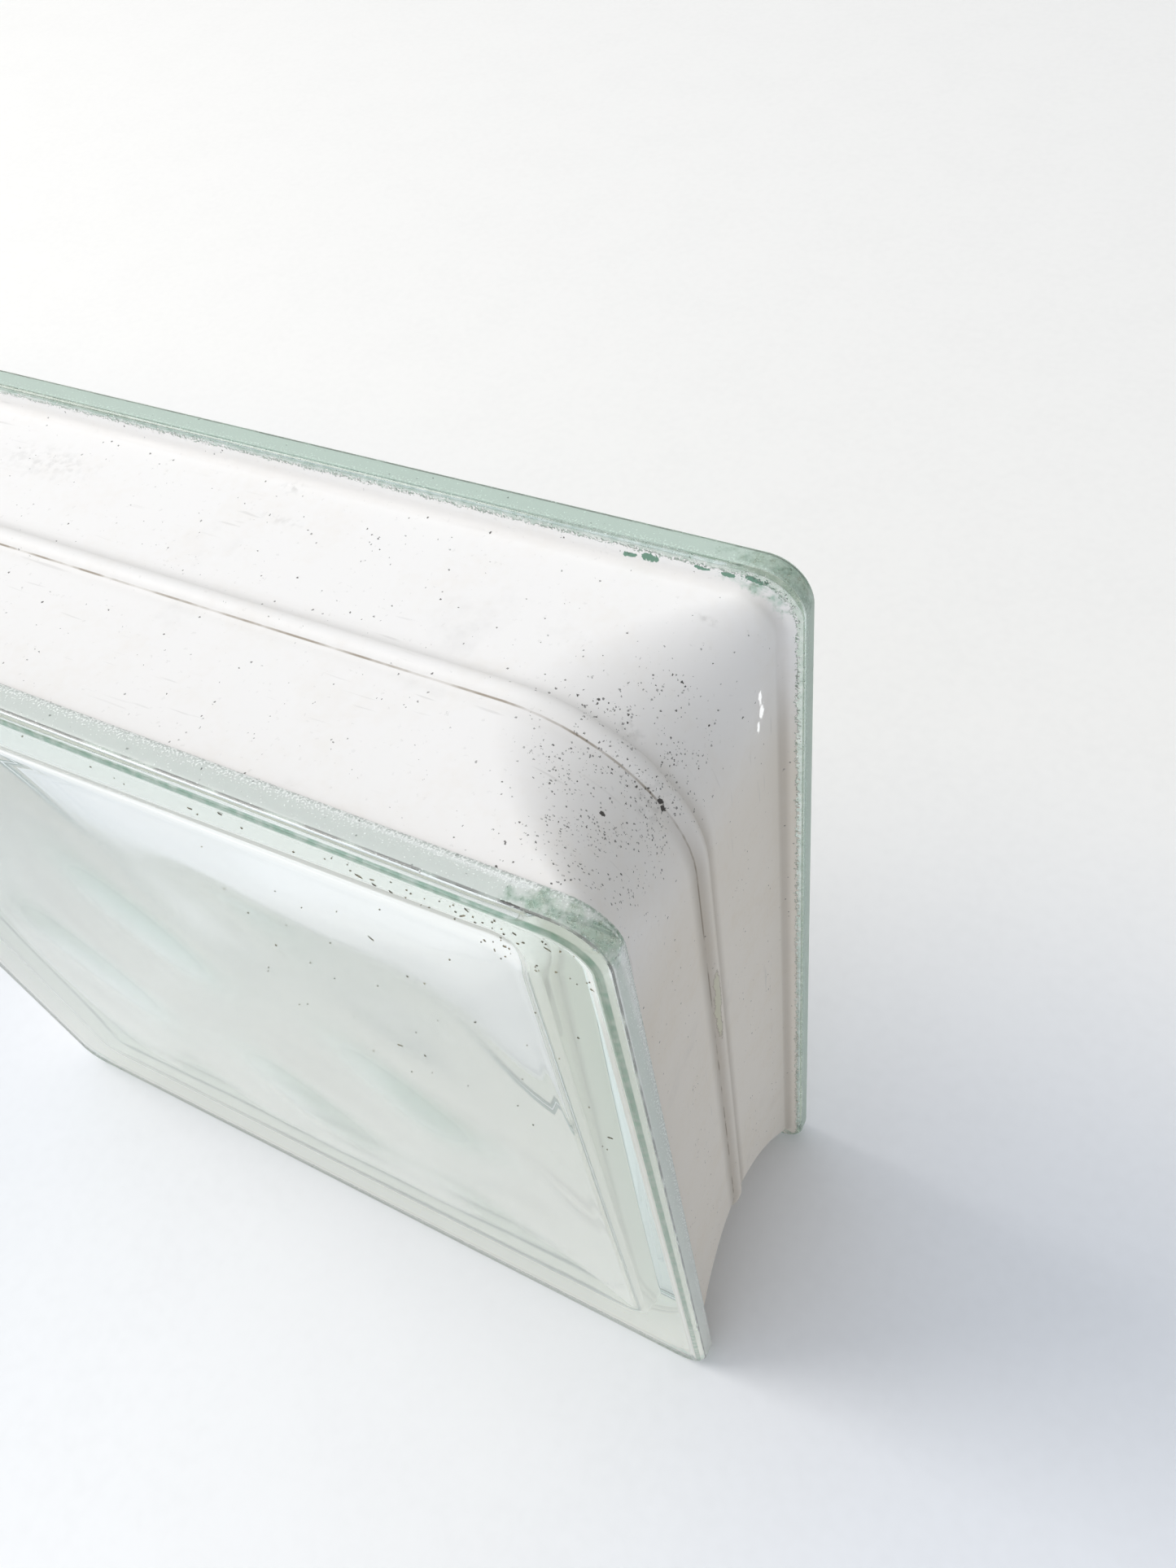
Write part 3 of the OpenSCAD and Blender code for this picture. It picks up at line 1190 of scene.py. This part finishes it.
class CrumbTree(ShapeTree):
    """Scatters flat ragged crumbs and short fibres over a guide's faces."""

    NAME = "crumb_scatter"
    INPUTS = {"Size": "NodeSocketFloat", "Seed": "NodeSocketInt"}
    BEND_SCALE = 5200.0
    BEND = (2.4, 0.0, 2.4)

    def shape(self, build: NodeTree, source: bpy.types.Node) -> Socket:
        """Places flattened balls on random points and roughens them.

        Args:
            build: Builder of the tree.
            source: The tree's input node.

        Returns:
            The crumbs.
        """
        points = build.add("GeometryNodeDistributePointsOnFaces")
        build.join(source.outputs["Geometry"], points.inputs["Mesh"])
        build.join(build.stored("crowd"), points.inputs["Density"])
        build.join(source.outputs["Seed"], points.inputs["Seed"])
        ball = build.add("GeometryNodeMeshIcoSphere")
        build.join(source.outputs["Size"], ball.inputs["Radius"])
        ball.inputs["Subdivisions"].default_value = 3
        size = build.add("ShaderNodeCombineXYZ")
        fibre = build.math("POWER", self._chance(build, 1), 6.0)
        build.join(build.math("MULTIPLY_ADD", fibre, 3.0, 0.45), size.inputs[0])
        build.join(build.math("MULTIPLY_ADD", self._chance(build, 2), 0.6, 0.25), size.inputs[1])
        build.join(build.math("MULTIPLY_ADD", self._chance(build, 4), 0.3, 0.3), size.inputs[2])
        place = build.add("GeometryNodeInstanceOnPoints")
        for value, name in ((points.outputs["Points"], "Points"), (ball.outputs["Mesh"], "Instance"),
                            (points.outputs["Rotation"], "Rotation"), (size.outputs[0], "Scale")):
            build.join(value, place.inputs[name])
        about = build.add("ShaderNodeCombineXYZ")
        build.join(build.math("MULTIPLY", self._chance(build, 3), math.tau), about.inputs[2])
        spin = build.add("GeometryNodeRotateInstances")
        build.join(place.outputs[0], spin.inputs["Instances"])
        build.join(about.outputs[0], spin.inputs["Rotation"])
        real = build.add("GeometryNodeRealizeInstances")
        build.join(spin.outputs[0], real.inputs[0])
        return self._roughen(build, source, real.outputs[0])

    def _chance(self, build: NodeTree, seed: int) -> Socket:
        """Gives a random number from 0 to 1 for each crumb.

        Args:
            build: Builder of the tree.
            seed: Seed of the numbers.

        Returns:
            The number.
        """
        node = build.add("FunctionNodeRandomValue", data_type="FLOAT")
        node.inputs["Seed"].default_value = seed
        return node.outputs[1]

    def _roughen(self, build: NodeTree, source: bpy.types.Node, crumbs: object) -> Socket:
        """Bends the crumbs in their plane so that none is a plain oval.

        Args:
            build: Builder of the tree.
            source: The tree's input node.
            crumbs: The placed crumbs.

        Returns:
            The bent crumbs.
        """
        noise = build.add("ShaderNodeTexNoise")
        build.join(build.add("GeometryNodeInputPosition").outputs[0], noise.inputs["Vector"])
        noise.inputs["Scale"].default_value = self.BEND_SCALE
        shift = build.add("ShaderNodeVectorMath", operation="SUBTRACT")
        build.join(noise.outputs["Color"], shift.inputs[0])
        shift.inputs[1].default_value = (0.5, 0.5, 0.5)
        flat = build.add("ShaderNodeVectorMath", operation="MULTIPLY")
        build.join(shift.outputs[0], flat.inputs[0])
        flat.inputs[1].default_value = self.BEND
        grown = build.add("ShaderNodeVectorMath", operation="SCALE")
        build.join(flat.outputs[0], grown.inputs[0])
        build.join(source.outputs["Size"], grown.inputs["Scale"])
        move = build.add("GeometryNodeSetPosition")
        build.join(crumbs, move.inputs["Geometry"])
        build.join(grown.outputs[0], move.inputs["Offset"])
        return move.outputs[0]


@dataclass
class GlassBody:
    """The fused glass body: rims, waist and sealed cavity with its wave relief."""

    side_cuts: int = 8
    corner_cuts: int = 14
    cavity_side_cuts: int = 78
    cavity_corner_cuts: int = 10
    wall_cuts: int = 10
    swell_cuts: int = 14
    swell_round: float = 0.75
    land_inset: float = 0.04
    face_inset: float = 0.3
    ridge_half: float = 0.35
    face_border: tuple[float, float] = (6.0, 1.6)

    def stations(self) -> list[Triple]:
        """Lists half of the outer section, from the face's middle to the seam.

        Returns:
            Reach from the axis, corner centre and distance from the middle plane, for each ring.
        """
        s = SIZES
        top = s.half_thick
        land = s.half_side - self.land_inset
        ridge = land - s.face_edge_r
        rim = [(ridge - border, top - self.face_inset) for border in self.face_border]
        rim += [(ridge - 3 * self.ridge_half, top - self.face_inset), (ridge - self.ridge_half, top)]
        rim += arc((ridge, top - s.face_edge_r), s.face_edge_r, 90, 0, 18)
        rim += [(land, s.flank + s.rim_edge_r + 0.1)]
        rim += arc((land - s.rim_edge_r, s.flank + s.rim_edge_r), s.rim_edge_r, 0, -90, 6)
        rings = [(p, s.rim_centre, y) for p, y in rim]
        rings.append((s.fillet_x + 0.3, s.flank_centre, s.flank))
        rings += [(p, s.corner_centre(y), y) for p, y in channel_outline(0.0, (8, 16, 8))]
        return rings

    def build(self, waves: WaveTree, glass: bpy.types.Material) -> bpy.types.Object:
        """Builds the body.

        Args:
            waves: The tree that presses the relief.
            glass: The body's material.

        Returns:
            The object.
        """
        loft = LoftMesh()
        half = self.stations()
        through = [(p, c, -y) for p, c, y in half] + half[-2::-1]
        rings = [square_ring(p, c, y, self.side_cuts, self.corner_cuts) for p, c, y in through]
        n = len(rings[0])
        still = [0.0] * len(rings)
        green = [self.edge_green(p, abs(y)) for p, _, y in through]
        loft.skin(rings, wave_share=still, wave_turn=still, inner=still, edge=green)
        loft.cap(0, n, turned=False)
        loft.cap((len(rings) - 1) * n, n, turned=True)
        self._cavity(loft)
        thing = loft.make("glass_body")
        waves.apply(thing, Wave_Height=SIZES.wave_height * MM, Wave_Length=SIZES.wave_length * MM,
                    Material=glass)
        return thing

    def edge_green(self, reach: float, y: float) -> float:
        """Tells where the rim's edges show the green of their thickness.

        Args:
            reach: Distance from the axis.
            y: Distance from the middle plane.

        Returns:
            1 on the round beside the face, less on the edge beside the channel, else 0.
        """
        s = SIZES
        if s.half_thick - 0.5 < y < s.half_thick - 0.03 and reach > s.half_side - s.face_edge_r:
            return 1.0
        return 0.8 if y < s.flank + s.rim_edge_r - 0.02 and reach > s.fillet_x else 0.0

    def _cavity_half(self) -> list[tuple[float, float, float, float]]:
        """Lists one half of the cavity from the seam to the pane's middle.

        Returns:
            Reach, corner centre, distance from the middle plane and share of the relief.
        """
        s = SIZES
        half = s.waist_half - s.wall_thick
        top = s.half_thick - s.pane_thick
        border = top - s.pane_swell
        flat = half - s.wall_draft - s.cavity_fillet_r
        centre = flat - s.pane_corner_r
        seam_centre = half - s.cavity_corner_r
        rings = []
        for share in np.linspace(0.0, 1.0, self.wall_cuts + 1)[1:-1]:
            middle = seam_centre + (centre - seam_centre) * share
            rings.append((half - s.wall_draft * share, middle, (border - s.cavity_fillet_r) * share, 0.0))
        for p, y in arc((flat, border - s.cavity_fillet_r), s.cavity_fillet_r, 0, 90, 12):
            rings.append((p, centre, y, 0.0))
        for share in np.linspace(0.0, 1.0, self.swell_cuts + 1)[1:]:
            inset = s.swell_width * share
            rings.append((flat - inset, centre - (1 + self.swell_round) * inset,
                          top - s.pane_swell * (1 - share) ** 2, share * share * (3 - 2 * share)))
        return rings

    def _cavity(self, loft: LoftMesh) -> None:
        """Adds the cavity's skin, facing into the hollow.

        Args:
            loft: The body's loft.
        """
        s = SIZES
        half = self._cavity_half()
        seam = (s.waist_half - s.wall_thick, s.waist_half - s.wall_thick - s.cavity_corner_r, 0.0, 0.0)
        rows = [(p, c, -y, share) for p, c, y, share in half[::-1]] + [seam] + half
        side_cuts, corner_cuts = self.cavity_side_cuts, self.cavity_corner_cuts
        rings = [square_ring(p, c, y, side_cuts, corner_cuts) for p, c, y, _ in rows]
        pane = [Pane.FRONT if y < 0 else Pane.BACK for _, _, y, _ in rows]
        start, n = loft.count, len(rings[0])
        loft.skin(rings, turned=True,
                  wave_share=[side.value * share for side, (_, _, _, share) in zip(pane, rows)],
                  wave_turn=[self.wave_turn(side) for side in pane],
                  inner=[share for _, _, _, share in rows], edge=[0.0] * len(rows))
        cuts = side_cuts + corner_cuts
        lead = side_cuts + corner_cuts // 2
        inner = (cuts - 1) ** 2
        for side, at in ((Pane.FRONT, 0), (Pane.BACK, len(rings) - 1)):
            loft.patch(start + at * n, rings[at], cuts, lead, turned=side is Pane.FRONT,
                       wave_share=np.full(inner, side.value), inner=np.ones(inner), edge=np.zeros(inner),
                       wave_turn=np.full(inner, self.wave_turn(side)))

    def wave_turn(self, pane: Pane) -> float:
        """Gives the turn of a pane's waves, in radians."""
        return math.radians(25 + 35 * pane.value)


@dataclass
class EdgeCoat:
    """The white coat of the mortar channel, thinning out over the rims' edges and lands."""

    side_cuts: int = 24
    corner_cuts: int = 14
    thick: float = 0.35
    sunk: float = 0.05
    film: float = 0.04
    face_turn: float = 30.0
    steps: tuple[int, int, int] = (8, 18, 8)

    def section(self, skin: float, film: float) -> list[tuple[float, float, float, float]]:
        """Lists half of a face of the coat, from its border beside the face to the seam.

        Args:
            skin: How far the face stands off the glass in the channel.
            film: How far it stands off the glass on the rim.

        Returns:
            Reach from the axis, corner centre, distance from the middle plane and way past the fillet.
        """
        s = SIZES
        land = s.half_side - self.film
        edge = s.rim_edge_r
        centre = (land - s.face_edge_r, s.half_thick - s.face_edge_r)
        rim = arc(centre, s.face_edge_r + film, self.face_turn, 0, 6)
        rim += [(land + film, y) for y in np.linspace(rim[-1][1], s.flank + edge + 0.1, 5)[1:]]
        rim += arc((land - edge, s.flank + edge), edge + film, 0, -90, 6)
        rows = [(p, s.rim_centre, y) for p, y in rim]
        rows += [(p, s.corner_centre(y), y) for p, y in channel_outline(skin, self.steps)]
        steps = [math.hypot(b[0] - a[0], b[2] - a[2]) for a, b in zip(rows, rows[1:])]
        way = np.concatenate([[0.0], np.cumsum(steps)])
        return [(*row, way[len(rim)] - w) for row, w in zip(rows, way)]

    def foot_reach(self) -> float:
        """Gives the reach of the bead's foot on the outer face."""
        return self.section(self.thick, self.film)[-1 - self.steps[2]][3]

    def build(self, coat: bpy.types.Material) -> bpy.types.Object:
        """Builds the coat as a closed shell whose inner face is sunk into the glass.

        Args:
            coat: The coat's material.

        Returns:
            The object.
        """
        loft = LoftMesh()
        rows = []
        for skin, film, back in ((self.thick, self.film, False), (-self.sunk, -self.sunk, True)):
            # The inner face under the channel is marked under; the coat's material paints a glow on it.
            half = [(p, c, y, w, float(back and w < 0.5)) for p, c, y, w in self.section(skin, film)]
            through = [(p, c, -y, w, under) for p, c, y, w, under in half] + half[-2::-1]
            rows += through[::-1] if back else through
        rings = [square_ring(p, c, y, self.side_cuts, self.corner_cuts) for p, c, y, _, _ in rows]
        loft.skin(rings, loop=True, reach=[row[3] for row in rows], under=[row[4] for row in rows])
        thing = loft.make("edge_coat")
        thing.data.materials.append(coat)
        return thing


@dataclass
class RimCrumbs:
    """Crumbs caught along the front rim's upper edge, thick at the corner, and a few on the front face.

    The depth is the crumbs' place behind the front rim's crest. A zone runs from one X to another and
    from one Z to another, with its crumbs per square millimetre.
    """

    size: float = 0.24
    seed: int = 7
    depth: float = 0.27
    zones: tuple[tuple[float, float, float, float, float], ...] = (
        (72.0, 117.0, 231.5, 236.0, 0.2),
        (98.0, 117.0, 224.0, 231.5, 0.15),
        (0.0, 72.0, 232.0, 236.0, 0.04),
        (30.0, 117.0, 150.0, 231.0, 0.006),
    )

    def build(self, tree: CrumbTree, dirt: bpy.types.Material) -> bpy.types.Object:
        """Builds the crumbs.

        Args:
            tree: The tree that scatters them.
            dirt: Their material.

        Returns:
            The object.
        """
        y = self.depth - SIZES.half_thick
        guide = LoftMesh()
        for left, right, low, high, crowd in self.zones:
            corners = np.array([(left, y, low), (right, y, low), (right, y, high), (left, y, high)])
            guide.cap(guide.count, 4, turned=False)
            guide.skin([corners], crowd=[crowd / MM**2])
        thing = guide.make("rim_crumbs")
        tree.apply(thing, Size=self.size * MM, Seed=self.seed, Material=dirt)
        return thing


@dataclass
class Studio:
    """The pale floor, the soft light and the camera."""

    floor_half: float = 4.0
    sky_side: Triple = (-0.84, -0.42, 0.34)
    sky_bright: Triple = (0.93, 0.975, 1.04)
    sky_dim: Triple = (0.20, 0.19, 0.17)
    sky_seen: Triple = (0.98, 0.99, 1.0)
    low_seen: Triple = (0.46, 0.45, 0.39)
    lamp_watts: float = 33.0
    lamp_place: Triple = (-1.7, -0.4, 2.0)
    lamp_size: float = 1.6
    lamp_colour: Triple = (1.0, 0.96, 0.91)
    lamp_aim: Triple = (0.0, 0.0, 0.12)
    camera_place: Triple = (0.17306539, -0.10506037, 0.38202203)
    camera_rows: tuple[Triple, ...] = (
        (0.88065558, 0.45485269, -0.13249445),
        (0.29198491, -0.74134324, -0.60428058),
        (-0.37308251, 0.49347669, -0.78567818),
    )
    focal_pixels: float = 1518.106
    image_height: float = 1927.0
    sensor: float = 36.0
    clip_start: float = 0.01

    def build(self, floor: bpy.types.Material) -> None:
        """Builds the floor, the lights and the camera.

        Args:
            floor: The floor's material.
        """
        self._floor(floor)
        self._lights()
        self._camera()

    def _floor(self, material: bpy.types.Material) -> None:
        """Lays the floor that the block stands on.

        Args:
            material: The floor's material.
        """
        far = self.floor_half
        corners = [(-far, -far, 0.0), (far, -far, 0.0), (far, far, 0.0), (-far, far, 0.0)]
        mesh = bpy.data.meshes.new("floor")
        mesh.from_pydata(corners, [], [(0, 1, 2, 3)])
        mesh.materials.append(material)
        floor = bpy.data.objects.new("floor", mesh)
        bpy.context.scene.collection.objects.link(floor)

    def _lights(self) -> None:
        """Sets the sky and one large soft lamp at the upper left."""
        scene = bpy.context.scene
        world = bpy.data.worlds.new("studio")
        world.use_nodes = True
        build = NodeTree(world.node_tree)
        towards = build.add("ShaderNodeVectorMath", operation="DOT_PRODUCT")
        build.join(build.add("ShaderNodeTexCoord").outputs["Generated"], towards.inputs[0])
        towards.inputs[1].default_value = self.sky_side
        light = build.mix(build.ramp(towards.outputs["Value"], -0.7, 0.7), self.sky_dim, self.sky_bright)
        height = build.axes(build.add("ShaderNodeTexCoord").outputs["Generated"])[2]
        seen = build.mix(build.ramp(height, -0.05, 0.2), self.low_seen, self.sky_seen)
        sky = world.node_tree.nodes["Background"]
        build.join(build.mix(build.through_glass(), light, seen), sky.inputs["Color"])
        scene.world = world
        lamp = bpy.data.lights.new("soft_lamp", "AREA")
        lamp.shape = "DISK"
        lamp.size = self.lamp_size
        lamp.energy = self.lamp_watts
        lamp.color = self.lamp_colour
        thing = bpy.data.objects.new("soft_lamp", lamp)
        thing.location = self.lamp_place
        aim = Vector(self.lamp_aim) - Vector(self.lamp_place)
        thing.rotation_mode = "QUATERNION"
        thing.rotation_quaternion = aim.to_track_quat("-Z", "Y")
        scene.collection.objects.link(thing)

    def _camera(self) -> None:
        """Sets the camera where the photograph was taken."""
        right, down, ahead = (np.array(row) for row in self.camera_rows)
        lens = bpy.data.cameras.new("camera")
        lens.sensor_width = self.sensor
        lens.lens = self.focal_pixels * self.sensor / self.image_height
        lens.clip_start = self.clip_start
        camera = bpy.data.objects.new("camera", lens)
        turn = np.stack([right, -down, -ahead], axis=1)
        camera.matrix_world = Matrix.Translation(self.camera_place) @ Matrix(turn.tolist()).to_4x4()
        bpy.context.scene.collection.objects.link(camera)
        bpy.context.scene.camera = camera


def set_view() -> None:
    """Sets plain colours and enough light paths for thick glass."""
    scene = bpy.context.scene
    scene.view_settings.view_transform = "Standard"
    scene.cycles.max_bounces = LIGHT_BOUNCES
    scene.cycles.transmission_bounces = LIGHT_BOUNCES
    scene.cycles.glossy_bounces = LIGHT_BOUNCES
    scene.cycles.transparent_max_bounces = LIGHT_BOUNCES
    scene.cycles.diffuse_bounces = DIFFUSE_BOUNCES


def main() -> None:
    """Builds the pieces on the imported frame."""
    logging.basicConfig(level=logging.INFO, format="%(name)s: %(message)s")
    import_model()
    effects = SurfaceEffects()
    body = GlassBody().build(WaveTree(), PressedGlass().make())
    edge = EdgeCoat()
    coat = edge.build(WhiteCoat().make(effects, edge.foot_reach()))
    for piece, node, slot in ((body, "glass_block", "glass"), (coat, "edge_coating", "edge_coat")):
        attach(piece, "root")
        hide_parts(node)
        LOG.info("%s: %d faces", piece.name, len(piece.data.polygons))
    crumbs = RimCrumbs().build(CrumbTree(), DryDirt().make(effects))
    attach(crumbs, "root")
    LOG.info("%s: %d faces", crumbs.name, len(crumbs.data.polygons))
    Studio().build(PaleFloor().make(effects))
    set_view()


if __name__ == "__main__":
    main()
